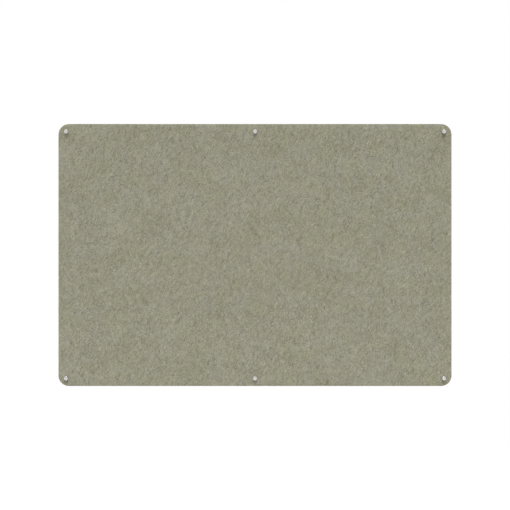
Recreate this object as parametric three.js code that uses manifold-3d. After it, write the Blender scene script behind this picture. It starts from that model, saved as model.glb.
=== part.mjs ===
// Frameless felt pinboard held off the wall by six round standoffs.
// Millimetres, +Z up. The wall is the plane y = 0 and the pinning face looks along -Y.
// The origin is the middle of the board on the wall plane.

import * as THREE from "three";
import { mergeVertices } from "three/addons/utils/BufferGeometryUtils.js";
import Module from "manifold-3d";

// Felt panel
const PANEL_WIDTH = 1200;
const PANEL_HEIGHT = 800;
const PANEL_THICKNESS = 12;
const PANEL_CORNER_RADIUS = 32;
const PANEL_EDGE_ROUND = 1;
const FIXING_INSET = 24;
const FELT_HOLE_CLEARANCE = 0.5;

// Thread that joins cap, stud and barrel, M8 by 1
const THREAD_RADIUS = 4;
const THREAD_CLEARANCE = 0.3;

// Cap, the round head on the felt
const STANDOFF_WALL = 1.7;
const CAP_HEIGHT = 6;
const CAP_CHAMFER = 0.5;
const CAP_THREAD_DEPTH = 4;

// Washers, one each side of the felt
const WASHER_THICKNESS = 1;
const WASHER_SETBACK = 0.5;

// Stud, a set screw with a hexagon socket
const STUD_CHAMFER = 0.8;
const STUD_END_GAP = 3;
const HEX_KEY_WIDTH = 4;
const HEX_SOCKET_DEPTH = 5;

// Barrel between the wall and the felt
const BARREL_LENGTH = 15;
const BARREL_CHAMFER = 0.4;
const BARREL_WEB = 3.2;
const RELIEF_DEPTH = 0.8;
const SEAT_GAP = 0.3;

// Countersunk wall screw with a cross recess
const SCREW_RADIUS = 1.75;
const SCREW_LENGTH = 40;
const SCREW_POINT_LENGTH = 4;
const SCREW_HEAD_CLEARANCE = 0.8;
const RECESS_SPAN = 3.2;
const RECESS_WIDTH = 0.9;
const RECESS_DEPTH = 1.6;

// Split nylon wall plug with barbs
const PLUG_WALL = 0.95;
const PLUG_LENGTH = 30;
const PLUG_COLLAR_OVERHANG = 0.6;
const PLUG_COLLAR_THICKNESS = 1;
const PLUG_COLLAR_CLEARANCE = 0.6;
const BARB_DEPTH = 0.4;
const BARB_PITCH = 4.5;
const BARB_COUNT = 4;
const BARB_START = 8;
const SPLIT_WIDTH = 0.8;
const SPLIT_LENGTH = 22;

// How finely round shapes are cut, and how far a cutter runs past the face it opens
const ROUND_SIDES = 24;
const SMALL_ROUND_SIDES = 16;
const CORNER_STEPS = 12;
const EDGE_STEPS = 3;
const HEX_SIDES = 6;
const OVERRUN = 1;

// Radii that follow from the thread
const boreRadius = THREAD_RADIUS + THREAD_CLEARANCE;
const standoffRadius = boreRadius + STANDOFF_WALL;
const washerRadius = standoffRadius - WASHER_SETBACK;
const feltHoleRadius = THREAD_RADIUS + FELT_HOLE_CLEARANCE;

// Radii that follow from the wall screw
const screwHeadRadius = THREAD_RADIUS - SCREW_HEAD_CLEARANCE;
const seatRadius = screwHeadRadius + SEAT_GAP * Math.SQRT2;
const screwHoleRadius = SCREW_RADIUS + SEAT_GAP;
const plugRadius = screwHoleRadius + PLUG_WALL;
const collarRadius = plugRadius + PLUG_COLLAR_OVERHANG;
const reliefRadius = collarRadius + PLUG_COLLAR_CLEARANCE;

// Stack of the fixing, as distances from the wall towards the front
const boreFloor = RELIEF_DEPTH + BARREL_WEB;
const backWasherBack = BARREL_LENGTH;
const panelBack = backWasherBack + WASHER_THICKNESS;
const panelFront = panelBack + PANEL_THICKNESS;
const capBack = panelFront + WASHER_THICKNESS;
const capFront = capBack + CAP_HEIGHT;
const capHoleFloor = capBack + CAP_THREAD_DEPTH;
const studBack = boreFloor + STUD_END_GAP;
const studFront = capHoleFloor - SEAT_GAP;
const screwTip = boreFloor - SCREW_LENGTH;
const collarFront = RELIEF_DEPTH - SEAT_GAP;
const plugTip = collarFront - PLUG_LENGTH;

// Fixings as shares of the half width and half height between the outer rows of holes
const FIXING_SHARES = [
  { name: "top_left", across: -1, up: 1 },
  { name: "top_middle", across: 0, up: 1 },
  { name: "top_right", across: 1, up: 1 },
  { name: "bottom_left", across: -1, up: -1 },
  { name: "bottom_middle", across: 0, up: -1 },
  { name: "bottom_right", across: 1, up: -1 },
];

const fixings = FIXING_SHARES.map(({ name, across, up }) => ({
  name,
  x: across * (PANEL_WIDTH / 2 - FIXING_INSET),
  z: up * (PANEL_HEIGHT / 2 - FIXING_INSET),
}));

// Colours and surfaces seen on the object
const LOOKS = {
  felt: { color: 0x959481, roughness: 0.95, metalness: 0 },
  metal: { color: 0xc9c9c7, roughness: 0.35, metalness: 0.9 },
  steel: { color: 0xa9abad, roughness: 0.4, metalness: 1 },
  zinc: { color: 0xc4c1b4, roughness: 0.45, metalness: 1 },
  nylon: { color: 0xe4e4de, roughness: 0.6, metalness: 0 },
  plug: { color: 0x9a9d9c, roughness: 0.6, metalness: 0 },
};

const wasm = await Module();
wasm.setup();

// A closed three.js geometry as a solid that can be cut.
function solidOf(geometry) {
  const bare = new THREE.BufferGeometry();
  bare.setAttribute("position", geometry.getAttribute("position"));
  bare.setIndex(geometry.getIndex());
  const merged = mergeVertices(bare);
  return new wasm.Manifold(
    new wasm.Mesh({
      numProp: 3,
      vertProperties: merged.getAttribute("position").array,
      triVerts: new Uint32Array(merged.getIndex().array),
    }),
  );
}

// A body with each of the cutters taken out of it, as a three.js geometry again.
function cutOut(body, cutters) {
  const cut = cutters.reduce((left, cutter) => left.subtract(solidOf(cutter)), solidOf(body));
  const { numProp, vertProperties, triVerts } = cut.getMesh();
  const geometry = new THREE.BufferGeometry();
  geometry.setAttribute("position", new THREE.BufferAttribute(vertProperties, numProp));
  geometry.setIndex(new THREE.BufferAttribute(triVerts, 1));
  geometry.computeVertexNormals();
  return geometry;
}

// A turned body about the fixing's axis. Its outline is a list of [radius, distance from the wall],
// drawn from the front round the outside to the wall end.
function turned(outline, sides = ROUND_SIDES) {
  const points = outline.map(([radius, distance]) => new THREE.Vector2(radius, -distance));
  return new THREE.LatheGeometry(points, sides);
}

// A turned body with a hole through it: the outline closes on itself.
function turnedRing(outline, sides = ROUND_SIDES) {
  return turned([...outline, outline[0]], sides);
}

function mesh(name, geometry, look) {
  const piece = new THREE.Mesh(geometry, new THREE.MeshStandardMaterial(LOOKS[look]));
  piece.name = name;
  return piece;
}

// The panel's outline inside its rounded edge, with a quarter circle at each corner.
function panelOutline() {
  const reachX = PANEL_WIDTH / 2 - PANEL_CORNER_RADIUS;
  const reachY = PANEL_HEIGHT / 2 - PANEL_CORNER_RADIUS;
  const radius = PANEL_CORNER_RADIUS - PANEL_EDGE_ROUND;
  const quarter = Math.PI / 2;
  const outline = new THREE.Shape();
  outline.absarc(reachX, reachY, radius, 0, quarter);
  outline.absarc(-reachX, reachY, radius, quarter, 2 * quarter);
  outline.absarc(-reachX, -reachY, radius, 2 * quarter, 3 * quarter);
  outline.absarc(reachX, -reachY, radius, 3 * quarter, 4 * quarter);
  outline.closePath();
  return outline;
}

// Pressed felt sheet with softly rounded edges and a clean hole at each fixing.
function feltPanel() {
  const sheet = new THREE.ExtrudeGeometry(panelOutline(), {
    depth: PANEL_THICKNESS - 2 * PANEL_EDGE_ROUND,
    bevelThickness: PANEL_EDGE_ROUND,
    bevelSize: PANEL_EDGE_ROUND,
    bevelSegments: EDGE_STEPS,
    curveSegments: CORNER_STEPS,
  });
  sheet.rotateX(Math.PI / 2);
  sheet.translate(0, -panelBack - PANEL_EDGE_ROUND, 0);
  const holes = fixings.map(({ x, z }) => {
    const length = PANEL_THICKNESS + 2 * OVERRUN;
    const hole = new THREE.CylinderGeometry(feltHoleRadius, feltHoleRadius, length, ROUND_SIDES);
    return hole.translate(x, -(panelBack + panelFront) / 2, z);
  });
  return cutOut(sheet, holes);
}

// Round head with a chamfered rim and a blind threaded hole for the stud.
function cap() {
  return turned([
    [0, capFront],
    [standoffRadius - CAP_CHAMFER, capFront],
    [standoffRadius, capFront - CAP_CHAMFER],
    [standoffRadius, capBack],
    [boreRadius, capBack],
    [boreRadius, capHoleFloor],
    [0, capHoleFloor],
  ]);
}

function washer(back) {
  return turnedRing([
    [boreRadius, back + WASHER_THICKNESS],
    [washerRadius, back + WASHER_THICKNESS],
    [washerRadius, back],
    [boreRadius, back],
  ]);
}

// Set screw with chamfered ends and a hexagon socket at its wall end.
function stud() {
  const shank = turned([
    [0, studFront],
    [THREAD_RADIUS - STUD_CHAMFER, studFront],
    [THREAD_RADIUS, studFront - STUD_CHAMFER],
    [THREAD_RADIUS, studBack + STUD_CHAMFER],
    [THREAD_RADIUS - STUD_CHAMFER, studBack],
    [0, studBack],
  ]);
  const acrossCorners = HEX_KEY_WIDTH / Math.cos(Math.PI / HEX_SIDES);
  const socketLength = HEX_SOCKET_DEPTH + OVERRUN;
  const socket = new THREE.CylinderGeometry(
    acrossCorners / 2,
    acrossCorners / 2,
    socketLength,
    HEX_SIDES,
  );
  socket.translate(0, -(studBack - OVERRUN + socketLength / 2), 0);
  return cutOut(shank, [socket]);
}

// Spacer with a threaded front, a countersunk seat for the wall screw
// and a relieved back that clears the plug's collar and stands on its rim.
function barrel() {
  return turnedRing([
    [boreRadius, BARREL_LENGTH],
    [standoffRadius - BARREL_CHAMFER, BARREL_LENGTH],
    [standoffRadius, BARREL_LENGTH - BARREL_CHAMFER],
    [standoffRadius, BARREL_CHAMFER],
    [standoffRadius - BARREL_CHAMFER, 0],
    [reliefRadius, 0],
    [reliefRadius, RELIEF_DEPTH],
    [screwHoleRadius, RELIEF_DEPTH],
    [screwHoleRadius, boreFloor - (seatRadius - screwHoleRadius)],
    [seatRadius, boreFloor],
    [boreRadius, boreFloor],
  ]);
}

// Wood screw with a 90 degree head, a plain core and a cross recess.
function wallScrew() {
  const core = turned(
    [
      [0, boreFloor],
      [screwHeadRadius, boreFloor],
      [SCREW_RADIUS, boreFloor - (screwHeadRadius - SCREW_RADIUS)],
      [SCREW_RADIUS, screwTip + SCREW_POINT_LENGTH],
      [0, screwTip],
    ],
    SMALL_ROUND_SIDES,
  );
  const slotLength = RECESS_DEPTH + OVERRUN;
  const slots = [0, Math.PI / 2].map((turn) => {
    const slot = new THREE.BoxGeometry(RECESS_SPAN, slotLength, RECESS_WIDTH);
    slot.rotateY(turn);
    return slot.translate(0, -(boreFloor - RECESS_DEPTH + slotLength / 2), 0);
  });
  return cutOut(core, slots);
}

// Hollow plug with a collar at the wall face, a row of barbs and a split that lets its legs spread.
function wallPlug() {
  const barbs = [];
  for (let i = 0; i < BARB_COUNT; i++) {
    const top = collarFront - BARB_START - i * BARB_PITCH;
    barbs.push([plugRadius, top], [plugRadius - BARB_DEPTH, top - BARB_PITCH]);
  }
  const body = turnedRing(
    [
      [screwHoleRadius, collarFront],
      [collarRadius, collarFront],
      [collarRadius, collarFront - PLUG_COLLAR_THICKNESS],
      [plugRadius, collarFront - PLUG_COLLAR_THICKNESS],
      ...barbs,
      [plugRadius - BARB_DEPTH, plugTip],
      [screwHoleRadius, plugTip],
    ],
    SMALL_ROUND_SIDES,
  );
  const splitLength = SPLIT_LENGTH + OVERRUN;
  const split = new THREE.BoxGeometry(2 * (plugRadius + OVERRUN), splitLength, SPLIT_WIDTH);
  split.translate(0, -(plugTip - OVERRUN + splitLength / 2), 0);
  return cutOut(body, [split]);
}

// One complete fixing about its own axis, placed over its hole.
function fixing({ name, x, z }) {
  const set = new THREE.Group();
  set.position.set(x, 0, z);
  set.add(
    mesh(`cap_${name}`, cap(), "metal"),
    mesh(`stud_${name}`, stud(), "steel"),
    mesh(`front_washer_${name}`, washer(panelFront), "nylon"),
    mesh(`back_washer_${name}`, washer(backWasherBack), "nylon"),
    mesh(`barrel_${name}`, barrel(), "metal"),
    mesh(`wall_screw_${name}`, wallScrew(), "zinc"),
    mesh(`wall_plug_${name}`, wallPlug(), "plug"),
  );
  return set;
}

const pinboard = new THREE.Group();
pinboard.add(mesh("felt_panel", feltPanel(), "felt"));
for (const place of fixings) pinboard.add(fixing(place));

export default pinboard;
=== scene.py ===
"""Dresses the pinboard: one sheet of grey-green felt held off the wall by six round standoffs.

Metres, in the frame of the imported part: +X to the right, +Z up and +Y into the wall.
The wall is the plane y = 0, and the pinning face looks along -Y.
"""

import logging
import math
import random
from abc import ABC, abstractmethod
from collections.abc import Iterable, Sequence
from dataclasses import dataclass, field, replace
from enum import Enum
from typing import NamedTuple

import bmesh
import bpy
from mathutils import Matrix, Vector, noise

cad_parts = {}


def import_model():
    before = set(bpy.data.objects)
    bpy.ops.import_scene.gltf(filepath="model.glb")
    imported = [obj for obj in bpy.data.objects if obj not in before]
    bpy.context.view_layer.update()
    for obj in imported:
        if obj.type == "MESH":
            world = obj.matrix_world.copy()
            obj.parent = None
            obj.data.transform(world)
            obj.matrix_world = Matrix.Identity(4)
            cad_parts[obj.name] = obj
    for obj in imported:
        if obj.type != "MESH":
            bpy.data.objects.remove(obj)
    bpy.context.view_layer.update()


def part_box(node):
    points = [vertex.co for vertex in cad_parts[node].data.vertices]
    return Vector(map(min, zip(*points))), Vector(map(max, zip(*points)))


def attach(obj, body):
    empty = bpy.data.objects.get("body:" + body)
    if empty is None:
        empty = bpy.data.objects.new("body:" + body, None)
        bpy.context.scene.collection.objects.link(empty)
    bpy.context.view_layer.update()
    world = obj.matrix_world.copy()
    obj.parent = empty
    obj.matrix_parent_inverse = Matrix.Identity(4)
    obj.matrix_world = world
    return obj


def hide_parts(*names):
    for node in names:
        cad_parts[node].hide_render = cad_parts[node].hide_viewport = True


LOG = logging.getLogger("pinboard")
ORIGIN = (0.0, 0.0, 0.0)
UNIT = (1.0, 1.0, 1.0)
WHITE = (1.0, 1.0, 1.0)
TURNING_AXIS = (0.0, 1.0, 0.0)
ACROSS, UP = 0, 2
QUARTER_TURN = math.pi / 2
ROUND_STEPS = 96
SMALL_ROUND_STEPS = 48
THREAD_STEPS = 40
SPARE_TURNS = 2
SOFT_STEPS = 2
HEXAGON = 6
MERGE_DISTANCE = 1e-6
CUT_TOLERANCE = 1e-7
PLANE_TOLERANCE = 1e-5
SHARP_ANGLE = 0.5
CREASE_ANGLE = 0.6

# What the pieces of a fixing share: the stud's play, and the wall screw's radius and play
STUD_PLAY = 0.0003
SCREW_RADIUS = 0.00175
SCREW_PLAY = 0.0003

# The colour sockets of Blender's Mix node
MIX_FIRST, MIX_SECOND, MIX_RESULT = 6, 7, 2

# The finer layers of a plain, a soft and a fine cloud, how strong each layer is, and a cloud's mean
PLAIN_DETAIL, SOFT_DETAIL, FINE_DETAIL = 1.0, 2.0, 3.0
SOFT_ROUGHNESS, FINE_ROUGHNESS = 0.5, 0.6
CLOUD_MEAN = 0.5

# The attribute that tells how light each loose strand is
STRAND_TONE = "strand_tone"

Body = bmesh.types.BMesh
Triple = tuple[float, float, float]
Colour = Triple
Range = tuple[float, float]
Material = bpy.types.Material
Outline = Sequence[tuple[float, float]]
Socket = bpy.types.NodeSocket
Outputs = bpy.types.NodeOutputs


class Reach(NamedTuple):
    """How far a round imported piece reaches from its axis, and along it."""

    radius: float
    front: float
    back: float

    @classmethod
    def of(cls, kind: str) -> "Reach":
        """Reads the reach of one kind of piece, by its nodes' common name, at the first fixing."""
        low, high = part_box(f"{kind}_{Place.TOP_LEFT.value}")
        return cls((high.x - low.x) / 2, low.y, high.y)


class Place(Enum):
    """The six fixings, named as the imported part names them."""

    TOP_LEFT = "top_left"
    TOP_MIDDLE = "top_middle"
    TOP_RIGHT = "top_right"
    BOTTOM_LEFT = "bottom_left"
    BOTTOM_MIDDLE = "bottom_middle"
    BOTTOM_RIGHT = "bottom_right"

    @property
    def axis(self) -> Vector:
        """Finds the point where the fixing's axis meets the wall."""
        low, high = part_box(f"cap_{self.value}")
        return Vector(((low.x + high.x) / 2, 0.0, (low.z + high.z) / 2))


class Side(Enum):
    """The two flat faces of the felt."""

    FRONT = "front"
    BACK = "back"


class Carving(Enum):
    """How one solid changes another."""

    TAKE_OUT = "DIFFERENCE"
    JOIN = "UNION"


# Finishes


class Layout:
    """Lays out nodes in a tree, one step after another."""

    def __init__(self, tree: bpy.types.NodeTree) -> None:
        """Takes the tree that the nodes go into."""
        self.tree = tree

    def feed(self, socket: Socket, value: object) -> None:
        """Links a socket to another, or sets it to a plain number, colour or vector.

        Args:
            socket: The input to feed.
            value: A socket to link from, or the value to set.
        """
        if isinstance(value, bpy.types.NodeSocket):
            self.tree.links.new(value, socket)
        elif isinstance(value, tuple) and len(socket.default_value) > len(value):
            socket.default_value = (*value, 1.0)
        else:
            socket.default_value = value

    def add(self, kind: str, inputs: dict, **settings: object) -> Outputs:
        """Adds one node.

        Args:
            kind: Blender's name of the node type, after its prefix.
            inputs: What each input gets, by its name or its number.
            settings: Options of the node by name.

        Returns:
            The node's outputs.
        """
        made = self.tree.nodes.new(f"ShaderNode{kind}")
        for name, value in settings.items():
            setattr(made, name, value)
        for key, value in inputs.items():
            self.feed(made.inputs[key], value)
        return made.outputs

    def worked(self, operation: str, first: object, second: object = 0.0, clamp: bool = False) -> Socket:
        """Works out one step of arithmetic, kept from 0 to 1 where that is asked for."""
        return self.add("Math", {0: first, 1: second}, operation=operation, use_clamp=clamp)["Value"]


class Recipe(Layout):
    """Lays out the nodes of one material."""

    def __init__(self, name: str) -> None:
        """Starts a material with its place on the part.

        Args:
            name: What the material is called.
        """
        self.material = bpy.data.materials.new(name)
        self.material.use_nodes = True
        super().__init__(self.material.node_tree)
        self.tree.nodes.clear()
        self.place = self.add("TexCoord", {})["Object"]

    def finish(self, **inputs: object) -> Material:
        """Feeds the shader and hands over the material.

        Args:
            inputs: What each input gets, by the input's name with underscores for its spaces.

        Returns:
            The finished material.
        """
        named = {name.replace("_", " "): value for name, value in inputs.items()}
        self.add("OutputMaterial", {"Surface": self.add("BsdfPrincipled", named)["BSDF"]})
        return self.material

    def laid(self, centre: Triple = ORIGIN, turn: float = 0.0, size: Triple = UNIT) -> Socket:
        """Places a pattern: its origin, its turn about the Y axis and the length of its unit each way."""
        inputs = {"Vector": self.place, "Location": centre, "Rotation": (0.0, turn, 0.0), "Scale": size}
        return self.add("Mapping", inputs, vector_type="TEXTURE")["Vector"]

    def noisy(self, vector: Socket, detail: float = SOFT_DETAIL, rough: float = SOFT_ROUGHNESS) -> Outputs:
        """Adds a cloudy pattern with so many finer layers, each of that strength."""
        return self.add("TexNoise", {"Vector": vector, "Scale": 1.0, "Detail": detail, "Roughness": rough})

    def cloud(self, size: float) -> Socket:
        """Makes a soft cloudy value from 0 to 1."""
        return self.noisy(self.laid(size=(size,) * 3))["Fac"]

    def fine_cloud(self, size: float) -> Socket:
        """Makes a cloudy value from 0 to 1 with finer clouds in it."""
        return self.noisy(self.laid(size=(size,) * 3), FINE_DETAIL, FINE_ROUGHNESS)["Fac"]

    def parts(self, colour: Socket) -> Outputs:
        """Splits a colour into its channels Red, Green and Blue."""
        return self.add("SeparateColor", {"Color": colour})

    def vector(self, operation: str, first: object, second: object = ORIGIN) -> Socket:
        """Works out one step with vectors, which gives a vector or, where asked for, a length."""
        made = self.add("VectorMath", {0: first, 1: second}, operation=operation)
        return made["Value" if operation == "LENGTH" else "Vector"]

    def plus(self, first: object, second: object, clamp: bool = False) -> Socket:
        """Adds two values."""
        return self.worked("ADD", first, second, clamp)

    def times(self, first: object, second: object) -> Socket:
        """Multiplies two values."""
        return self.worked("MULTIPLY", first, second)

    def swing(self, value: Socket, gain: float = 1.0) -> Socket:
        """Moves a cloudy value to a mean of zero, and strengthens it."""
        return self.times(self.worked("SUBTRACT", value, CLOUD_MEAN), gain)

    def spread(self, value: Socket, old: Range, new: Range = (0.0, 1.0)) -> Socket:
        """Spreads a value from one range to another, smoothly at both ends."""
        inputs = {"Value": value, "From Min": old[0], "From Max": old[1], "To Min": new[0], "To Max": new[1]}
        return self.add("MapRange", inputs, interpolation_type="SMOOTHSTEP")["Result"]

    def tinted(self, share: object, first: object, second: object, blend: str = "MIX") -> Socket:
        """Mixes two colours, with that share of the second, in one of Blender's ways."""
        inputs = {0: share, MIX_FIRST: first, MIX_SECOND: second}
        return self.add("Mix", inputs, data_type="RGBA", blend_type=blend)[MIX_RESULT]

    def raised(self, height: Socket, depth: float) -> Socket:
        """Tilts the surface by its fine relief, whose height of 1 is so many metres deep."""
        return self.add("Bump", {"Distance": depth, "Height": height})["Normal"]


@dataclass(frozen=True)
class Finish(ABC):
    """A finish that makes its own material."""

    name: str

    @abstractmethod
    def make(self) -> Material:
        """Makes the material."""

    def at(self, place: Place) -> Material:
        """Gives the material for one fixing, which all fixings share unless a finish says otherwise."""
        return bpy.data.materials.get(self.name) or self.make()


@dataclass(frozen=True)
class MixedFelt(Finish):
    """Pressed felt of light and dark hairs that lie flat in every direction."""

    name: str = "felt"
    light: Colour = (0.502, 0.49, 0.373)
    dark: Colour = (0.139, 0.135, 0.0835)
    directions: int = 9
    turn_slack: float = 0.2
    hair_length: float = 0.018
    length_slack: float = 0.3
    hair_spacing: float = 0.0022
    hair_layer: float = 0.0008
    hair_share: float = 0.05
    hair_gain: float = 1.43
    lie: float = math.radians(59)
    lie_share: float = 0.36
    bend_size: float = 0.05
    bend_reach: float = 0.012
    patch_size: float = 0.075
    patch_gain: float = 0.235
    tint_size: float = 0.045
    tint_gain: float = 2.7
    tint_of_patch: float = 3.0
    olive: Colour = (0.992, 1.003, 0.95)
    grey: Colour = (1.008, 0.997, 1.05)
    fleck_spacing: float = 0.0143
    fleck_share: float = 0.2
    fleck_radius: float = 0.11
    fleck_edge: float = 0.04
    fleck_gain: float = 0.5
    fleck_shade: float = 0.6
    fuzz_size: float = 0.0007
    fuzz_gain: float = 0.35
    roughness: float = 0.93
    shine: float = 0.2
    sheen: float = 0.08
    relief: float = 0.00035
    seed: int = 8

    def bent(self, recipe: Recipe) -> Socket:
        """Bends the felt's coordinates a little, so that its hairs curve.

        Args:
            recipe: The recipe to add to.

        Returns:
            The bent coordinates.
        """
        swirl = recipe.noisy(recipe.laid(size=(self.bend_size,) * 3), PLAIN_DETAIL)["Color"]
        centred = recipe.vector("SUBTRACT", swirl, (CLOUD_MEAN,) * 3)
        reach = recipe.vector("MULTIPLY", centred, (2 * self.bend_reach, 0.0, 2 * self.bend_reach))
        return recipe.vector("ADD", recipe.place, reach)

    def hairs(self, recipe: Recipe) -> Socket:
        """Draws thin hairs, each lighter or darker than the felt, in every direction.

        Args:
            recipe: The recipe to add to.

        Returns:
            How light the hairs are, with a mean of zero.
        """
        picker = random.Random(self.seed)
        total: object = 0.0
        for number in range(self.directions):
            centre = tuple(picker.uniform(-1, 1) for _ in range(3))
            slack = picker.uniform(-self.turn_slack, self.turn_slack)
            turn = math.pi * (number + slack) / self.directions
            length = self.hair_length * (1 + picker.uniform(-self.length_slack, self.length_slack))
            vector = recipe.laid(centre, -turn, (length, self.hair_layer, self.hair_spacing))
            parts = recipe.parts(recipe.noisy(vector, PLAIN_DETAIL)["Color"])
            aside = recipe.worked("ABSOLUTE", recipe.swing(parts["Red"]))
            hair = recipe.spread(aside, (0.0, self.hair_share), (1.0, 0.0))
            weight = 1.0 + self.lie_share * math.cos(2 * (turn - self.lie))
            tone = recipe.swing(parts["Green"], weight * self.hair_gain)
            total = recipe.plus(recipe.times(hair, tone), total)
        return total

    def flecks(self, recipe: Recipe) -> Socket:
        """Scatters small dark flecks, a few in each hand's breadth.

        Args:
            recipe: The recipe to add to.

        Returns:
            How much of a fleck there is, from 0 to 1.
        """
        cells = recipe.add("TexVoronoi", {"Vector": recipe.place, "Scale": 1.0 / self.fleck_spacing})
        chosen = recipe.parts(cells["Color"])["Red"]
        size = recipe.spread(chosen, (1.0 - self.fleck_share, 1.0), (0.0, self.fleck_radius))
        inside = recipe.worked("SUBTRACT", size, cells["Distance"])
        return recipe.times(recipe.spread(inside, (0.0, self.fleck_edge)), self.fleck_gain)

    def cast(self, recipe: Recipe, patches: Socket) -> Socket:
        """Lets the hue drift between olive and grey, with the lighter patches greyer.

        Args:
            recipe: The recipe to add to.
            patches: How light each patch is, with a mean of zero.

        Returns:
            The colour that tints the felt.
        """
        drift = recipe.swing(recipe.fine_cloud(self.tint_size), self.tint_gain)
        lean = recipe.plus(drift, recipe.times(patches, self.tint_of_patch))
        return recipe.tinted(recipe.plus(lean, CLOUD_MEAN, clamp=True), self.olive, self.grey)

    def make(self) -> Material:
        """Makes the felt's material.

        Returns:
            The material.
        """
        recipe = Recipe(self.name)
        straight = recipe.place
        recipe.place = self.bent(recipe)
        hairs = self.hairs(recipe)
        recipe.place = straight
        patches = recipe.swing(recipe.fine_cloud(self.patch_size), self.patch_gain)
        share = recipe.plus(recipe.plus(hairs, patches), CLOUD_MEAN, clamp=True)
        melange = recipe.tinted(share, self.dark, self.light)
        melange = recipe.tinted(1.0, melange, self.cast(recipe, patches), blend="MULTIPLY")
        deep = tuple(self.fleck_shade * part for part in self.dark)
        fuzz = recipe.times(recipe.fine_cloud(self.fuzz_size), self.fuzz_gain)
        return recipe.finish(
            Base_Color=recipe.tinted(self.flecks(recipe), melange, deep),
            Roughness=self.roughness,
            Specular_IOR_Level=self.shine,
            Sheen_Weight=self.sheen,
            Normal=recipe.raised(recipe.plus(hairs, fuzz), self.relief),
        )


@dataclass(frozen=True)
class LooseFibre(Finish):
    """Single strands of the felt's own fibre, from dark olive to pale grey."""

    name: str = "loose_strands"
    dark: Colour = (0.095, 0.094, 0.057)
    light: Colour = (0.56, 0.555, 0.45)
    slub_size: float = 0.004
    slub_gain: float = 0.3
    twist_size: float = 0.0005
    roughness: float = 0.8
    shine: float = 0.3
    sheen: float = 0.1
    relief: float = 0.00008

    def make(self) -> Material:
        """Makes the strands' material.

        Returns:
            The material.
        """
        recipe = Recipe(self.name)
        tone = recipe.add("Attribute", {}, attribute_name=STRAND_TONE)["Fac"]
        slub = recipe.swing(recipe.cloud(self.slub_size), self.slub_gain)
        return recipe.finish(
            Base_Color=recipe.tinted(recipe.plus(tone, slub, clamp=True), self.dark, self.light),
            Roughness=self.roughness,
            Specular_IOR_Level=self.shine,
            Sheen_Weight=self.sheen,
            Normal=recipe.raised(recipe.cloud(self.twist_size), self.relief),
        )


@dataclass(frozen=True)
class TurnedMetal(Finish):
    """Satin aluminium with the fine rings that a lathe leaves about its own axis."""

    centre: Triple = ORIGIN
    colour: Colour = (0.535, 0.525, 0.52)
    worn: Colour = (0.61, 0.60, 0.595)
    roughness: float = 0.34
    rings_per_metre: float = 5500.0
    ring_gain: float = 0.16
    grain_size: float = 0.0004
    grain_range: Range = (0.3, 0.7)
    smudge_size: float = 0.006
    smudge_gain: float = 0.12
    relief: float = 0.000006

    def at(self, place: Place) -> Material:
        """Makes the metal of one fixing, whose rings run about that fixing's axis."""
        return replace(self, name=f"{self.name}_{place.value}", centre=tuple(place.axis)).make()

    def rings(self, recipe: Recipe) -> Socket:
        """Makes the rings, which change only with the tool's way over the surface.

        Args:
            recipe: The recipe to add to.

        Returns:
            The rings, from 0 to 1.
        """
        local = recipe.laid(self.centre)
        radius = recipe.vector("LENGTH", recipe.vector("MULTIPLY", local, (1.0, 0.0, 1.0)))
        way = recipe.plus(radius, recipe.add("SeparateXYZ", {"Vector": local})["Y"])
        inputs = {"W": way, "Scale": self.rings_per_metre}
        return recipe.add("TexNoise", inputs, noise_dimensions="1D")["Fac"]

    def make(self) -> Material:
        """Makes the metal's material.

        Returns:
            The material.
        """
        recipe = Recipe(self.name)
        rings = self.rings(recipe)
        grain = recipe.spread(recipe.fine_cloud(self.grain_size), self.grain_range)
        smudges = recipe.swing(recipe.cloud(self.smudge_size), self.smudge_gain)
        uneven = recipe.plus(recipe.swing(rings, self.ring_gain), smudges)
        return recipe.finish(
            Base_Color=recipe.tinted(grain, self.colour, self.worn),
            Metallic=1.0,
            Roughness=recipe.plus(uneven, self.roughness),
            Normal=recipe.raised(rings, self.relief),
        )


@dataclass(frozen=True)
class PlatedSteel(Finish):
    """Steel under a thin plating, with mottled colour and a fine grain."""

    colour: Colour
    shade: Colour
    roughness: float = 0.38
    bloom_size: float = 0.003
    bloom_range: Range = (0.35, 0.65)
    grain_size: float = 0.0003
    grain_gain: float = 0.2
    relief: float = 0.000008

    def make(self) -> Material:
        """Makes the plated steel's material.

        Returns:
            The material.
        """
        recipe = Recipe(self.name)
        bloom = recipe.spread(recipe.fine_cloud(self.bloom_size), self.bloom_range)
        grain = recipe.cloud(self.grain_size)
        return recipe.finish(
            Base_Color=recipe.tinted(bloom, self.shade, self.colour),
            Metallic=1.0,
            Roughness=recipe.plus(recipe.swing(grain, self.grain_gain), self.roughness),
            Normal=recipe.raised(grain, self.relief),
        )


@dataclass(frozen=True)
class MouldedNylon(Finish):
    """Matt moulded nylon with a faint flow pattern and a fine eroded texture."""

    colour: Colour
    shade: Colour
    roughness: float = 0.52
    flow_size: Triple = (0.005, 0.012, 0.005)
    flow_range: Range = (0.3, 0.7)
    grain_size: float = 0.00025
    grain_gain: float = 0.15
    glow_share: float = 0.15
    glow_depth: float = 0.001
    relief: float = 0.00001

    def make(self) -> Material:
        """Makes the nylon's material.

        Returns:
            The material.
        """
        recipe = Recipe(self.name)
        flow = recipe.spread(recipe.noisy(recipe.laid(size=self.flow_size))["Fac"], self.flow_range)
        grain = recipe.cloud(self.grain_size)
        return recipe.finish(
            Base_Color=recipe.tinted(flow, self.shade, self.colour),
            Roughness=recipe.plus(recipe.swing(grain, self.grain_gain), self.roughness),
            Subsurface_Weight=self.glow_share,
            Subsurface_Scale=self.glow_depth,
            Normal=recipe.raised(grain, self.relief),
        )


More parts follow.
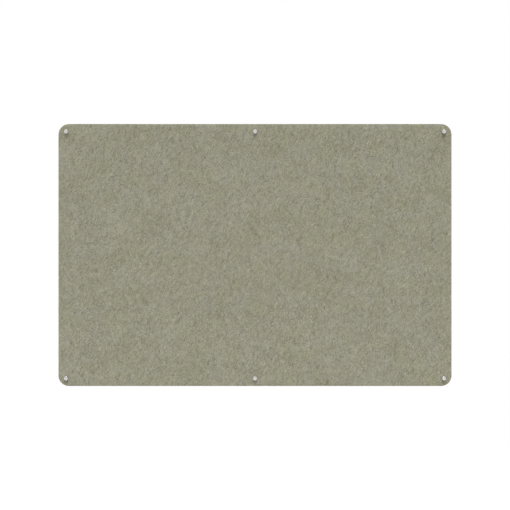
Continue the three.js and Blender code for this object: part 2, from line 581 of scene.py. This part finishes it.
CAP_METAL = TurnedMetal("cap_metal")
BARREL_METAL = TurnedMetal("barrel_metal")
STUD_STEEL = PlatedSteel("stud_steel", colour=(0.46, 0.47, 0.48), shade=(0.33, 0.34, 0.35))
SCREW_ZINC = PlatedSteel("screw_zinc", colour=(0.62, 0.6, 0.52), shade=(0.47, 0.45, 0.36))
WASHER_NYLON = MouldedNylon("washer_nylon", colour=(0.8, 0.8, 0.76), shade=(0.73, 0.73, 0.69))
PLUG_NYLON = MouldedNylon("plug_nylon", colour=(0.34, 0.36, 0.35), shade=(0.29, 0.31, 0.3))


# Turning, threading and carving


def tidied(work: Body) -> Body:
    """Merges doubles and turns all faces outwards.

    Args:
        work: The body.

    Returns:
        The same body.
    """
    bmesh.ops.remove_doubles(work, verts=work.verts, dist=MERGE_DISTANCE)
    bmesh.ops.dissolve_degenerate(work, edges=work.edges, dist=MERGE_DISTANCE)
    bmesh.ops.recalc_face_normals(work, faces=work.faces)
    return work


def sliced(work: Body, point: Iterable[float], normal: Iterable[float], slack: float, trim: bool) -> None:
    """Cuts a body along a plane, and trims off what lies beyond it where that is asked for."""
    bmesh.ops.bisect_plane(
        work, geom=work.verts[:] + work.edges[:] + work.faces[:], dist=slack,
        plane_co=point, plane_no=normal, clear_outer=trim,
    )


def swept(outline: Outline, angle: float, steps: int, climb: float = 0.0, closed: bool = False) -> Body:
    """Sweeps an outline about the Y axis, as a lathe or a screw-cutter does.

    Args:
        outline: Points of radius and y in order along the surface.
        angle: How far it turns, in radians.
        steps: Faces over that angle.
        climb: How far each step moves it along the axis.
        closed: True where the outline comes back to its start.

    Returns:
        The swept surface, which is open at the ends of a climb.
    """
    work = bmesh.new()
    corners = [work.verts.new((radius, y, 0.0)) for radius, y in outline]
    ends = corners[1:] + (corners[:1] if closed else [])
    edges = [work.edges.new(pair) for pair in zip(corners, ends)]
    bmesh.ops.spin(
        work, geom=corners + edges, cent=ORIGIN, axis=TURNING_AXIS, dvec=(0.0, climb, 0.0),
        angle=angle, steps=steps, use_merge=not climb, use_duplicate=False,
    )
    bmesh.ops.remove_doubles(work, verts=work.verts, dist=MERGE_DISTANCE)
    return work


def turned(outline: Outline, closed: bool = False, steps: int = ROUND_STEPS) -> Body:
    """Turns an outline into a solid, or a closed outline into a ring."""
    return tidied(swept(outline, math.tau, steps, closed=closed))


@dataclass(frozen=True)
class Thread:
    """A right-hand thread about the Y axis, with flats at its root and its crest."""

    pitch: float
    root: float
    crest: float
    root_share: float
    crest_share: float

    def tooth(self, low: float) -> Outline:
        """Draws one tooth.

        Args:
            low: The y at which the tooth starts.

        Returns:
            Points of radius and y over one pitch.
        """
        foot = self.root_share * self.pitch / 2
        top = self.crest_share * self.pitch / 2
        middle = self.pitch / 2
        shape = ((self.root, 0.0), (self.root, foot), (self.crest, middle - top))
        shape += ((self.crest, middle + top), (self.root, self.pitch - foot), (self.root, self.pitch))
        return [(radius, low + y) for radius, y in shape]

    def wound(self, low: float, high: float) -> Body:
        """Winds the tooth into a rod.

        Args:
            low: The y at which the rod starts.
            high: The y at which it ends.

        Returns:
            The closed threaded rod.
        """
        turns = math.ceil((high - low) / self.pitch) + SPARE_TURNS
        start = self.tooth(low - self.pitch)
        work = swept(start, math.tau * turns, THREAD_STEPS * turns, climb=self.pitch / THREAD_STEPS)
        for y, away in ((low, -1.0), (high, 1.0)):
            sliced(work, (0.0, y, 0.0), (0.0, away, 0.0), CUT_TOLERANCE, trim=True)
        bmesh.ops.remove_doubles(work, verts=work.verts, dist=MERGE_DISTANCE)
        bmesh.ops.edgeloop_fill(work, edges=[edge for edge in work.edges if edge.is_boundary])
        return tidied(work)


def tapered(work: Body, start: float, end: float, left: float) -> None:
    """Draws a turned body in towards its axis between two heights.

    Args:
        work: The body.
        start: The y at which it has its full radius.
        end: The y at which only a share of the radius is left.
        left: That share.
    """
    for corner in work.verts:
        share = min(1.0, max(0.0, (corner.co.y - start) / (end - start)))
        scale = 1.0 + (left - 1.0) * share
        corner.co.x *= scale
        corner.co.z *= scale


def prism(sides: int, radius: float, low: float, high: float) -> Body:
    """Makes an upright prism along the Y axis.

    Args:
        sides: How many sides it has.
        radius: The radius of its corners.
        low: The y of its lower end.
        high: The y of its upper end.

    Returns:
        The closed prism.
    """
    work = bmesh.new()
    bmesh.ops.create_cone(
        work, cap_ends=True, segments=sides, radius1=radius, radius2=radius, depth=high - low
    )
    place = Matrix.Translation((0.0, (low + high) / 2, 0.0)) @ Matrix.Rotation(QUARTER_TURN, 4, "X")
    bmesh.ops.transform(work, matrix=place, verts=work.verts)
    return tidied(work)


def block(size: Iterable[float], centre: Iterable[float]) -> Body:
    """Makes a rectangular block.

    Args:
        size: Its length along each axis.
        centre: Where its middle lies.

    Returns:
        The closed block.
    """
    work = bmesh.new()
    bmesh.ops.create_cube(work, size=1.0)
    bmesh.ops.scale(work, vec=Vector(size), verts=work.verts)
    bmesh.ops.translate(work, vec=Vector(centre), verts=work.verts)
    return tidied(work)


def rounded(work: Body, edges: list[bmesh.types.BMEdge], width: float, steps: int) -> Body:
    """Rounds some edges of a body to a radius, with so many faces across, and returns the body."""
    bmesh.ops.bevel(
        work, geom=edges, offset=width, offset_type="OFFSET", segments=steps, profile=0.5,
        affect="EDGES", clamp_overlap=True, material=-1,
    )
    return work


def softened(work: Body, width: float, least: float = SHARP_ANGLE) -> Body:
    """Rounds the edges of a body that turn by more than the least sharp angle."""
    sharp = [edge for edge in work.edges if edge.is_manifold and edge.calc_face_angle(0.0) > least]
    return tidied(rounded(work, sharp, width, SOFT_STEPS))


def as_mesh(name: str, work: Body) -> bpy.types.Mesh:
    """Turns a finished body into a mesh.

    Args:
        name: What the mesh is called.
        work: The body, which is used up.

    Returns:
        The mesh.
    """
    mesh = bpy.data.meshes.new(name)
    work.to_mesh(mesh)
    work.free()
    return mesh


def in_scene(name: str, data: bpy.types.ID) -> bpy.types.Object:
    """Puts a mesh, a curve, a lamp or a camera in the scene.

    Args:
        name: What the object is called.
        data: What it shows.

    Returns:
        The object.
    """
    held = bpy.data.objects.new(name, data)
    bpy.context.scene.collection.objects.link(held)
    return held


def carved(body: Body, tool: Body, how: Carving) -> Body:
    """Cuts a tool out of a body, or joins the two.

    Args:
        body: The body, which is used up.
        tool: The tool, which is used up.
        how: What the tool does.

    Returns:
        The changed body.
    """
    pair = [in_scene(name, as_mesh(name, part)) for name, part in (("body", body), ("tool", tool))]
    change = pair[0].modifiers.new("carving", "BOOLEAN")
    change.operation = how.value
    change.solver = "EXACT"
    change.object = pair[1]
    ready = pair[0].evaluated_get(bpy.context.evaluated_depsgraph_get())
    work = bmesh.new()
    work.from_mesh(ready.to_mesh())
    ready.to_mesh_clear()
    for held in pair:
        mesh = held.data
        bpy.data.objects.remove(held)
        bpy.data.meshes.remove(mesh)
    return tidied(work)


# Dressing


@dataclass(frozen=True)
class Dressing:
    """What a finished piece is called, wears, rides on and stands for."""

    name: str
    material: Material
    body: str
    slot: str
    replaces: tuple[str, ...] = ()


def shown(mesh: bpy.types.Mesh, dressing: Dressing, crease: float = CREASE_ANGLE) -> None:
    """Puts a finished mesh in the scene, dressed and riding on its body.

    Args:
        mesh: The mesh, in its own place.
        dressing: The piece's name, material, body, slot and replaced nodes.
        crease: The angle, in radians, from which an edge shades as sharp.
    """
    mesh.name = dressing.name
    mesh.shade_smooth()
    mesh.set_sharp_from_angle(angle=crease)
    mesh.materials.clear()
    mesh.materials.append(dressing.material)
    piece = in_scene(dressing.name, mesh)
    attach(piece, dressing.body)
    if dressing.replaces:
        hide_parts(*dressing.replaces)
    LOG.info("%s: %d faces on %s", dressing.name, len(mesh.polygons), dressing.body)


# The felt


def eased(share: float) -> float:
    """Starts and ends a share from 0 to 1 smoothly."""
    return share * share * (3 - 2 * share)


@dataclass
class FeltPanel:
    """The sheet of felt, with soft edges, six holes and a slight swell round each washer."""

    name: str = "felt_sheet"
    node: str = "felt_panel"
    corner_radius: float = 0.032
    corner_steps: int = 24
    edge_round: float = 0.001
    edge_steps: int = 4
    hole_radius: float = 0.0045
    hole_zone: float = 0.016
    cell: float = 0.012
    fine_reach: float = 0.022
    fine_cuts: int = 5
    washer_room: float = 0.0002
    swell: float = 0.00035
    swell_peak: float = 0.0085
    swell_end: float = 0.018
    ripple: float = 0.00012
    ripple_size: float = 0.07
    front_layer: float = 0.3
    back_layer: float = 5.3
    ragged: float = 0.00012
    ragged_size: float = 0.02

    def __post_init__(self) -> None:
        """Reads the sheet's box, the washers' reach and the fixings' places from the frame."""
        self.low, self.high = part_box(self.node)
        self.size = self.high - self.low
        self.washer = Reach.of("front_washer")
        self.centres = [place.axis for place in Place]

    def nearest(self, x: float, z: float) -> float:
        """Tells how far a place is from the nearest fixing's axis."""
        return min(math.hypot(x - spot.x, z - spot.z) for spot in self.centres)

    def rise(self, x: float, z: float, side: Side) -> float:
        """Tells how far the felt stands out of its flat plane.

        Args:
            x: The place across.
            z: The place up.
            side: The front or the back.

        Returns:
            The height above the plane, in metres.
        """
        held = self.washer.radius + self.washer_room
        away = self.nearest(x, z)
        if away <= held:
            return 0.0
        layer = self.front_layer if side is Side.FRONT else self.back_layer
        wave = noise.noise(Vector((x / self.ripple_size, layer, z / self.ripple_size)))
        if away >= self.swell_end:
            return self.ripple * wave
        climb = min(1.0, (away - held) / (self.swell_peak - held))
        fall = min(1.0, (self.swell_end - away) / (self.swell_end - self.swell_peak))
        return self.swell * (eased(climb) * eased(fall)) + self.ripple * wave * (1 - fall)

    def around(self) -> float:
        """Tells how long the rim is."""
        return 2 * (self.size.x + self.size.z - 4 * self.corner_radius) + math.tau * self.corner_radius

    def rim_spot(self, along: float, above: float) -> Vector:
        """Finds a place on the cut rim, halfway through its thickness.

        Args:
            along: The distance along the rim from the middle of its length.
            above: The height above the rim.

        Returns:
            The place on the part.
        """
        radius = self.corner_radius
        inner = self.size / 2 - Vector((radius, 0.0, radius))
        bend = radius * QUARTER_TURN
        left = (along + self.around() / 2) % self.around()
        start = Vector((-inner.x, (self.low.y + self.high.y) / 2, inner.z))
        turn = 0.0
        for length in (2 * inner.x, 2 * inner.z) * 2:
            walked = min(left, length)
            start = start + Vector((math.cos(turn), 0.0, -math.sin(turn))) * walked
            left -= walked
            swung = turn + min(left, bend) / radius
            if left <= bend:
                break
            left -= bend
            turn += QUARTER_TURN
        return start + Vector((math.sin(swung), 0.0, math.cos(swung))) * (radius + above)

    def lies_flat(self, edge: bmesh.types.BMEdge) -> bool:
        """Tells whether an edge keeps its distance from the wall."""
        return abs(edge.verts[0].co.y - edge.verts[1].co.y) < PLANE_TOLERANCE

    def blank(self) -> Body:
        """Cuts the sheet to its rounded outline and softens its rims.

        Returns:
            The sheet before its holes.
        """
        work = block(self.size, (self.high + self.low) / 2)
        upright = [edge for edge in work.edges if not self.lies_flat(edge)]
        rounded(work, upright, self.corner_radius, self.corner_steps)
        rims = [edge for edge in work.edges if self.lies_flat(edge)]
        return rounded(work, rims, self.edge_round, self.edge_steps)

    def near_fixing(self, edge: bmesh.types.BMEdge) -> bool:
        """Tells whether both ends of an edge lie close to one of the fixings."""
        return all(self.nearest(corner.co.x, corner.co.z) < self.fine_reach for corner in edge.verts)

    def gridded(self, work: Body) -> None:
        """Divides the sheet into even cells, with finer ones round each fixing.

        Args:
            work: The sheet.
        """
        for axis in (ACROSS, UP):
            count = round(self.size[axis] / self.cell)
            for number in range(1, count):
                point, normal = Vector(), Vector()
                point[axis] = self.low[axis] + number * self.size[axis] / count
                normal[axis] = 1.0
                sliced(work, point, normal, MERGE_DISTANCE, trim=False)
        near = [edge for edge in work.edges if self.lies_flat(edge) and self.near_fixing(edge)]
        bmesh.ops.subdivide_edges(work, edges=near, cuts=self.fine_cuts, use_grid_fill=True)

    def roughened(self, work: Body) -> None:
        """Gives the flat faces their slight swell, and the cut rim its slight raggedness.

        Args:
            work: The sheet with its holes.
        """
        for corner in work.verts:
            spot = corner.co
            if spot.y < self.low.y + PLANE_TOLERANCE:
                spot.y -= self.rise(spot.x, spot.z, Side.FRONT)
            elif spot.y > self.high.y - PLANE_TOLERANCE:
                spot.y += self.rise(spot.x, spot.z, Side.BACK)
            elif self.nearest(spot.x, spot.z) > self.hole_zone:
                corner.co = spot + corner.normal * self.ragged * noise.noise(spot / self.ragged_size)

    def build(self, felt: Material) -> None:
        """Builds and dresses the sheet.

        Args:
            felt: The felt's material.
        """
        work = self.blank()
        self.gridded(work)
        past = self.size.y
        for spot in self.centres:
            drill = prism(SMALL_ROUND_STEPS, self.hole_radius, self.low.y - past, self.high.y + past)
            bmesh.ops.translate(drill, vec=spot, verts=drill.verts)
            work = carved(work, drill, Carving.TAKE_OUT)
        self.roughened(work)
        shown(as_mesh(self.name, work), Dressing(self.name, felt, "board", "felt", (self.node,)))


@dataclass
class LooseStrands:
    """Single strands that lie on one face of the felt, each closed and tucked in at both ends."""

    name: str
    panel: FeltPanel
    seed: int
    side: Side = Side.FRONT
    count: int = 3550
    points: int = 10
    length: Range = (0.014, 0.055)
    width: float = 0.0006
    height: float = 0.00022
    girth: Range = (0.7, 1.2)
    tip: float = 0.4
    sunk: Range = (0.0, 0.0001)
    tuck: float = 0.00025
    curl: float = 22.0
    waver: float = 0.16
    lie: float = math.radians(70)
    lie_share: float = 0.45
    margin: float = 0.002
    washer_room: float = 0.0011

    def section(self) -> bpy.types.Object:
        """Makes the flat triangle that each strand is drawn with.

        Returns:
            The triangle as a curve, in the scene.
        """
        curve = bpy.data.curves.new("strand_section", "CURVE")
        line = curve.splines.new("POLY")
        shape = ((-self.width / 2, 0.0), (self.width / 2, 0.0), (0.0, self.height))
        line.points.add(len(shape) - 1)
        for point, spot in zip(line.points, shape):
            point.co = (*spot, 0.0, 1.0)
        line.use_cyclic_u = True
        return in_scene("strand_section", curve)

    def extent(self) -> Vector:
        """Tells how far the strands may lie from the middle of the face, across and up."""
        size = self.panel.size
        return Vector((size.x / 2 - self.margin, size.z / 2 - self.margin))

    def heading(self, picker: random.Random) -> float:
        """Picks the way a strand sets off, more often along the felt's lie.

        Args:
            picker: The source of its random choices.

        Returns:
            The angle from the X axis, in radians.
        """
        while True:
            angle = picker.uniform(0.0, math.tau)
            favour = 1 + self.lie_share * math.cos(2 * (angle - self.lie))
            if picker.random() * (1 + self.lie_share) < favour:
                return angle

    def walk(self, picker: random.Random) -> list[Vector]:
        """Lets one strand wander over the flat sheet.

        Args:
            picker: The source of its random choices.

        Returns:
            Its points across and up the sheet.
        """
        reach = self.extent()
        spot = Vector((picker.uniform(-reach.x, reach.x), picker.uniform(-reach.y, reach.y)))
        heading = self.heading(picker)
        bend = picker.gauss(0.0, self.curl)
        step = picker.uniform(*self.length) / (self.points - 1)
        found = []
        for _ in range(self.points):
            found.append(spot)
            spot = spot + step * Vector((math.cos(heading), math.sin(heading)))
            heading += bend * step + picker.gauss(0.0, self.waver)
        return found

    def inside(self, found: list[Vector]) -> bool:
        """Tells whether all points of a strand lie within its extent."""
        reach = self.extent()
        return all(abs(spot.x) <= reach.x and abs(spot.y) <= reach.y for spot in found)

    def clear(self, found: list[Vector]) -> bool:
        """Tells whether a strand stays on the felt and off the washers.

        Args:
            found: The strand's points.

        Returns:
            True if the strand may stay.
        """
        radius = self.panel.corner_radius
        inner = self.extent() - Vector((radius, radius))
        room = self.panel.washer.radius + self.washer_room
        for spot in found:
            beyond = Vector((max(0.0, abs(spot.x) - inner.x), max(0.0, abs(spot.y) - inner.y)))
            if beyond.length > radius or self.panel.nearest(spot.x, spot.y) < room:
                return False
        return self.inside(found)

    def laid_on(self, flat: Vector) -> Vector:
        """Takes a point of the flat layout to its place on the felt.

        Args:
            flat: The point across, up and above the flat sheet.

        Returns:
            The place on the part.
        """
        panel = self.panel
        if self.side is Side.FRONT:
            return Vector((flat.x, panel.low.y - panel.rise(flat.x, flat.y, Side.FRONT) - flat.z, flat.y))
        rise = panel.rise(flat.x, -flat.y, Side.BACK)
        return Vector((flat.x, panel.high.y + rise + flat.z, -flat.y))

    def drawn(self, curve: bpy.types.Curve) -> list[float]:
        """Draws the strands on the flat layout.

        Args:
            curve: The curve that gets one line for each strand.

        Returns:
            How light each strand is, from 0 to 1.
        """
        picker = random.Random(self.seed)
        tones = []
        while len(tones) < self.count:
            found = self.walk(picker)
            tone = picker.random()
            if not self.clear(found):
                continue
            line = curve.splines.new("POLY")
            line.points.add(self.points - 1)
            pairs = list(zip(line.points, found))
            for point, spot in pairs[1:-1]:
                point.co = (*spot, -picker.uniform(*self.sunk), 1.0)
                point.radius = picker.uniform(*self.girth)
            for point, spot in (pairs[0], pairs[-1]):
                point.co = (*spot, -self.tuck, 1.0)
                point.radius = self.tip
            tones.append(tone)
        return tones

    def build(self, fibre: Material) -> None:
        """Lays out the strands and makes them one piece.

        Args:
            fibre: The strands' material.
        """
        curve = bpy.data.curves.new(self.name, "CURVE")
        curve.dimensions = "3D"
        curve.twist_mode = "Z_UP"
        curve.bevel_mode = "OBJECT"
        curve.bevel_object = self.section()
        curve.use_fill_caps = True
        tones = self.drawn(curve)
        held = in_scene(self.name, curve)
        mesh = bpy.data.meshes.new_from_object(held.evaluated_get(bpy.context.evaluated_depsgraph_get()))
        for spent in (curve.bevel_object.data, curve):
            bpy.data.curves.remove(spent)
        work = bmesh.new()
        work.from_mesh(mesh)
        bpy.data.meshes.remove(mesh)
        each = len(work.verts) // len(tones)
        layer = work.verts.layers.float.new(STRAND_TONE)
        for number, corner in enumerate(work.verts):
            corner[layer] = tones[number // each]
            corner.co = self.laid_on(corner.co)
        dressing = Dressing(self.name, fibre, "board", "felt")
        shown(as_mesh(self.name, tidied(work)), dressing, crease=math.pi)


@dataclass
class RimStrands(LooseStrands):
    """Short strands on the cut rim, laid along its length and across its thickness."""

    count: int = 2000
    points: int = 6
    length: Range = (0.004, 0.014)

    def extent(self) -> Vector:
        """Tells how far the strands may lie from the middle of the rim, along and across."""
        return Vector((self.panel.around() / 2, self.panel.size.y / 2 - self.margin))

    def clear(self, found: list[Vector]) -> bool:
        """Tells whether a strand stays on the rim, where no washer is near."""
        return self.inside(found)

    def laid_on(self, flat: Vector) -> Vector:
        """Takes a point of the flat layout to its place on the rim."""
        return self.panel.rim_spot(flat.x, flat.z) + Vector((0.0, flat.y, 0.0))


# The pieces of a standoff


@dataclass
class Piece(ABC):
    """One kind of piece, made about the Y axis at its own distance from the wall."""

    kind: str
    finish: Finish
    body: str = "board"

    def __post_init__(self) -> None:
        """Reads from the frame how far the piece reaches."""
        self.reach = Reach.of(self.kind)

    @property
    def bore(self) -> float:
        """Tells the radius of the holes that the stud runs in."""
        return Reach.of("stud").radius + STUD_PLAY

    @abstractmethod
    def made(self) -> Body:
        """Makes the piece about the Y axis."""

    def build(self) -> None:
        """Makes the piece once, and fits a copy of it at each of the six places."""
        pattern = as_mesh(self.kind, self.made())
        for place in Place:
            node = f"{self.kind}_{place.value}"
            mesh = pattern.copy()
            mesh.transform(Matrix.Translation(place.axis))
            body = self.body.format(place.value)
            shown(mesh, Dressing(f"{node}_made", self.finish.at(place), body, self.finish.name, (node,)))
        bpy.data.meshes.remove(pattern)


@dataclass
class Cap(Piece):
    """The round head with its chamfered rim and blind hole."""

    kind: str = "cap"
    finish: Finish = CAP_METAL
    body: str = "head_{}"
    chamfer: float = 0.0005
    hole_depth: float = 0.004
    edge: float = 0.00012

    def made(self) -> Body:
        """Turns the cap.

        Returns:
            The cap about the Y axis.
        """
        radius, front, back = self.reach
        end, bore, floor = self.chamfer, self.bore, back - self.hole_depth
        outline = (
            (0.0, front), (radius - end, front), (radius, front + end), (radius, back), (bore, back),
            (bore, floor), (0.0, floor),
        )
        return softened(turned(outline), self.edge)


@dataclass
class Washer(Piece):
    """A flat washer, a hair thinner than its gap."""

    finish: Finish = WASHER_NYLON
    give: float = 0.00002
    edge: float = 0.00015

    def made(self) -> Body:
        """Turns the washer.

        Returns:
            The washer about the Y axis.
        """
        bore, (radius, front, back) = self.bore, self.reach
        front += self.give
        outline = ((bore, front), (radius, front), (radius, back), (bore, back))
        return softened(turned(outline, closed=True), self.edge)


@dataclass
class Stud(Piece):
    """The set screw, with a rolled thread, chamfered ends and a hexagon socket."""

    kind: str = "stud"
    finish: Finish = STUD_STEEL
    body: str = "head_{}"
    pitch: float = 0.001
    thread_depth: float = 0.00061
    root_share: float = 0.24
    crest_share: float = 0.12
    chamfer: float = 0.0008
    socket_width: float = 0.004
    socket_depth: float = 0.005

    def made(self) -> Body:
        """Winds the thread, chamfers its ends and sinks the socket.

        Returns:
            The stud about the Y axis.
        """
        end, (radius, front, back) = self.chamfer, self.reach
        root = radius - self.thread_depth
        rod = Thread(self.pitch, root, radius, self.root_share, self.crest_share).wound(front, back)
        left = (radius - end) / radius
        tapered(rod, front + end, front, left)
        tapered(rod, back - end, back, left)
        corner = self.socket_width / 2 / math.cos(math.pi / HEXAGON)
        socket = prism(HEXAGON, corner, back - self.socket_depth, back + self.socket_depth)
        return carved(rod, socket, Carving.TAKE_OUT)


@dataclass
class Barrel(Piece):
    """The spacer, open in front, with a countersunk web and a relieved back."""

    kind: str = "barrel"
    finish: Finish = BARREL_METAL
    chamfer: float = 0.0004
    edge: float = 0.0001
    relief_depth: float = 0.0008
    collar_play: float = 0.0006

    def made(self) -> Body:
        """Turns the barrel round the wall screw's head and over the plug's collar.

        Returns:
            The barrel about the Y axis.
        """
        radius, front, back = self.reach
        end, bore, hole = self.chamfer, self.bore, SCREW_RADIUS + SCREW_PLAY
        screw, plug = Reach.of("wall_screw"), Reach.of("wall_plug")
        seat = screw.radius + SCREW_PLAY * math.sqrt(2)
        relief = plug.radius + self.collar_play
        step = back - self.relief_depth
        outline = (
            (bore + end, front), (radius - end, front), (radius, front + end), (radius, back - end),
            (radius - end, back), (relief, back), (relief, step), (hole, step),
            (hole, screw.front + seat - hole), (seat, screw.front), (bore, screw.front), (bore, front + end),
        )
        return softened(turned(outline, closed=True), self.edge)


@dataclass
class WallScrew(Piece):
    """The countersunk wood screw, with a winding thread, a point and a cross recess."""

    kind: str = "wall_screw"
    finish: Finish = SCREW_ZINC
    head_rim: float = 0.0002
    shank_radius: float = 0.0014
    thread_start: float = 0.009
    thread_overlap: float = 0.001
    thread: Thread = Thread(pitch=0.0018, root=0.0012, crest=SCREW_RADIUS, root_share=0.72, crest_share=0.04)
    point_length: float = 0.006
    point_share: float = 0.04
    recess_span: float = 0.0032
    recess_width: float = 0.0009
    recess_depth: float = 0.0016
    recess_floor: Range = (0.45, 0.7)

    def head(self) -> Body:
        """Turns the head and the plain shank below it.

        Returns:
            The head and shank about the Y axis.
        """
        radius, front, _ = self.reach
        rim, shank, start = front + self.head_rim, self.shank_radius, self.thread_start
        outline = (
            (0.0, front), (radius, front), (radius, rim), (shank, rim + radius - shank), (shank, start),
            (0.0, start),
        )
        return turned(outline, steps=SMALL_ROUND_STEPS)

    def recess(self, turn: float) -> Body:
        """Makes the cutter of one arm of the cross recess, smaller towards its floor.

        Args:
            turn: The arm's angle about the screw's axis.

        Returns:
            The cutter.
        """
        slot = block((self.recess_span, 2 * self.recess_depth, self.recess_width), ORIGIN)
        floor = [corner for corner in slot.verts if corner.co.y > 0]
        bmesh.ops.scale(slot, vec=(self.recess_floor[0], 1.0, self.recess_floor[1]), verts=floor)
        place = Matrix.Translation((0.0, self.reach.front, 0.0)) @ Matrix.Rotation(turn, 4, "Y")
        bmesh.ops.transform(slot, matrix=place, verts=slot.verts)
        return slot

    def made(self) -> Body:
        """Joins the head to its winding thread and cuts the recess.

        Returns:
            The screw about the Y axis.
        """
        end = self.reach.back
        winding = self.thread.wound(self.thread_start - self.thread_overlap, end)
        tapered(winding, end - self.point_length, end, self.point_share)
        work = carved(self.head(), winding, Carving.JOIN)
        for turn in (0.0, QUARTER_TURN):
            work = carved(work, self.recess(turn), Carving.TAKE_OUT)
        return work


@dataclass
class WallPlug(Piece):
    """The plug with its collar, its barbs and its two split legs."""

    kind: str = "wall_plug"
    finish: Finish = PLUG_NYLON
    collar_overhang: float = 0.0006
    collar_thickness: float = 0.001
    lead: float = 0.0003
    edge: float = 0.00008
    barb_depth: float = 0.0004
    barb_pitch: float = 0.0045
    barb_count: int = 4
    barb_start: float = 0.008
    barb_angle: float = 0.7
    nose: float = 0.0009
    split_width: float = 0.0008
    split_length: float = 0.022

    def made(self) -> Body:
        """Turns the barbed shell and splits its legs.

        Returns:
            The plug about the Y axis.
        """
        radius, front, back = self.reach
        lead, hole, step = self.lead, SCREW_RADIUS + SCREW_PLAY, front + self.collar_thickness
        shell = radius - self.collar_overhang
        low = shell - self.barb_depth
        outline = [(hole + lead, front), (radius, front), (radius, step), (shell, step)]
        for number in range(self.barb_count):
            start = front + self.barb_start + number * self.barb_pitch
            outline += [(shell, start), (low, start + self.barb_pitch)]
        outline += [(low, back - self.nose), (hole + lead, back), (hole, back - lead), (hole, front + lead)]
        shape = turned(outline, closed=True, steps=SMALL_ROUND_STEPS)
        past = 2 * radius
        split = block((2 * past, 2 * self.split_length, self.split_width), (0.0, back, 0.0))
        return carved(softened(shape, self.edge, least=self.barb_angle), split, Carving.TAKE_OUT)


@dataclass
class Standoffs:
    """The six sets that hold the board off the wall, each of seven pieces."""

    cap: Cap = field(default_factory=Cap)
    stud: Stud = field(default_factory=Stud)
    front_washer: Washer = field(default_factory=lambda: Washer("front_washer", body="washer_{}"))
    back_washer: Washer = field(default_factory=lambda: Washer("back_washer"))
    barrel: Barrel = field(default_factory=Barrel)
    screw: WallScrew = field(default_factory=WallScrew)
    plug: WallPlug = field(default_factory=WallPlug)

    def build(self) -> None:
        """Builds every piece of the six sets."""
        for piece in vars(self).values():
            piece.build()


# The studio


@dataclass
class Studio:
    """A plain white studio with one broad lamp above the front."""

    camera_distance: float = 2.827
    lens: float = 64.73
    sensor: float = 36.0
    lamp_strength: float = 2.85
    lamp_tilt: float = math.radians(66)
    lamp_width: float = 0.45
    surround: float = 0.47
    floor_height: float = -1.45
    floor_size: float = 8.0
    floor_colour: Colour = (0.62, 0.62, 0.62)
    floor_roughness: float = 0.9
    floor_glow: float = 0.5

    def camera(self) -> None:
        """Sets the camera square to the board, as the photograph was taken."""
        data = bpy.data.cameras.new("camera")
        data.lens = self.lens
        data.sensor_width = self.sensor
        camera = in_scene("camera", data)
        camera.location = (0.0, -self.camera_distance, 0.0)
        camera.rotation_euler = (QUARTER_TURN, 0.0, 0.0)
        bpy.context.scene.camera = camera

    def lamp(self) -> None:
        """Hangs a broad lamp above and in front of the board."""
        data = bpy.data.lights.new("lamp", "SUN")
        data.energy = self.lamp_strength
        data.angle = self.lamp_width
        in_scene("lamp", data).rotation_euler = (QUARTER_TURN - self.lamp_tilt, 0.0, 0.0)

    def seen(self, layout: Layout) -> Socket:
        """Finds the rays that see the white surround.

        Args:
            layout: The nodes to add to.

        Returns:
            A value of 1 for camera, glossy and transmission rays.
        """
        path = layout.add("LightPath", {})
        total = path["Is Camera Ray"]
        for name in ("Is Glossy Ray", "Is Transmission Ray"):
            total = layout.worked("MAXIMUM", total, path[name])
        return total

    def world(self) -> None:
        """Surrounds the board with plain white that lights it at a lower level."""
        world = bpy.data.worlds.new("studio")
        world.use_nodes = True
        layout = Layout(world.node_tree)
        levels = {"Value": self.seen(layout), "To Min": self.surround, "To Max": 1.0}
        background = world.node_tree.nodes["Background"].inputs
        layout.feed(background["Color"], WHITE)
        layout.feed(background["Strength"], layout.add("MapRange", levels)["Result"])
        bpy.context.scene.world = world

    def floor(self) -> None:
        """Lays a plain pale floor well below the board."""
        work = bmesh.new()
        bmesh.ops.create_grid(work, x_segments=1, y_segments=1, size=self.floor_size / 2)
        bmesh.ops.translate(work, vec=(0.0, 0.0, self.floor_height), verts=work.verts)
        floor = in_scene("floor", as_mesh("floor", work))
        recipe = Recipe("pale_floor")
        material = recipe.finish(
            Base_Color=self.floor_colour,
            Roughness=self.floor_roughness,
            Emission_Color=WHITE,
            Emission_Strength=recipe.times(self.seen(recipe), self.floor_glow),
        )
        floor.data.materials.append(material)

    def build(self) -> None:
        """Sets up the camera, the lamp, the surround and the floor."""
        for step in (self.camera, self.lamp, self.world, self.floor):
            step()
        bpy.context.scene.view_settings.view_transform = "Standard"


def main() -> None:
    """Builds the studio, the felt, its strands and the six fixings."""
    logging.basicConfig(level=logging.INFO, format="%(name)s %(message)s")
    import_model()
    Studio().build()
    panel = FeltPanel()
    panel.build(MixedFelt().make())
    fibre = LooseFibre().make()
    for strands in (
        LooseStrands("front_strands_a", panel, seed=11),
        LooseStrands("front_strands_b", panel, seed=12),
        LooseStrands("back_strands", panel, seed=13, side=Side.BACK),
        RimStrands("rim_strands", panel, seed=14),
    ):
        strands.build(fibre)
    Standoffs().build()


if __name__ == "__main__":
    main()
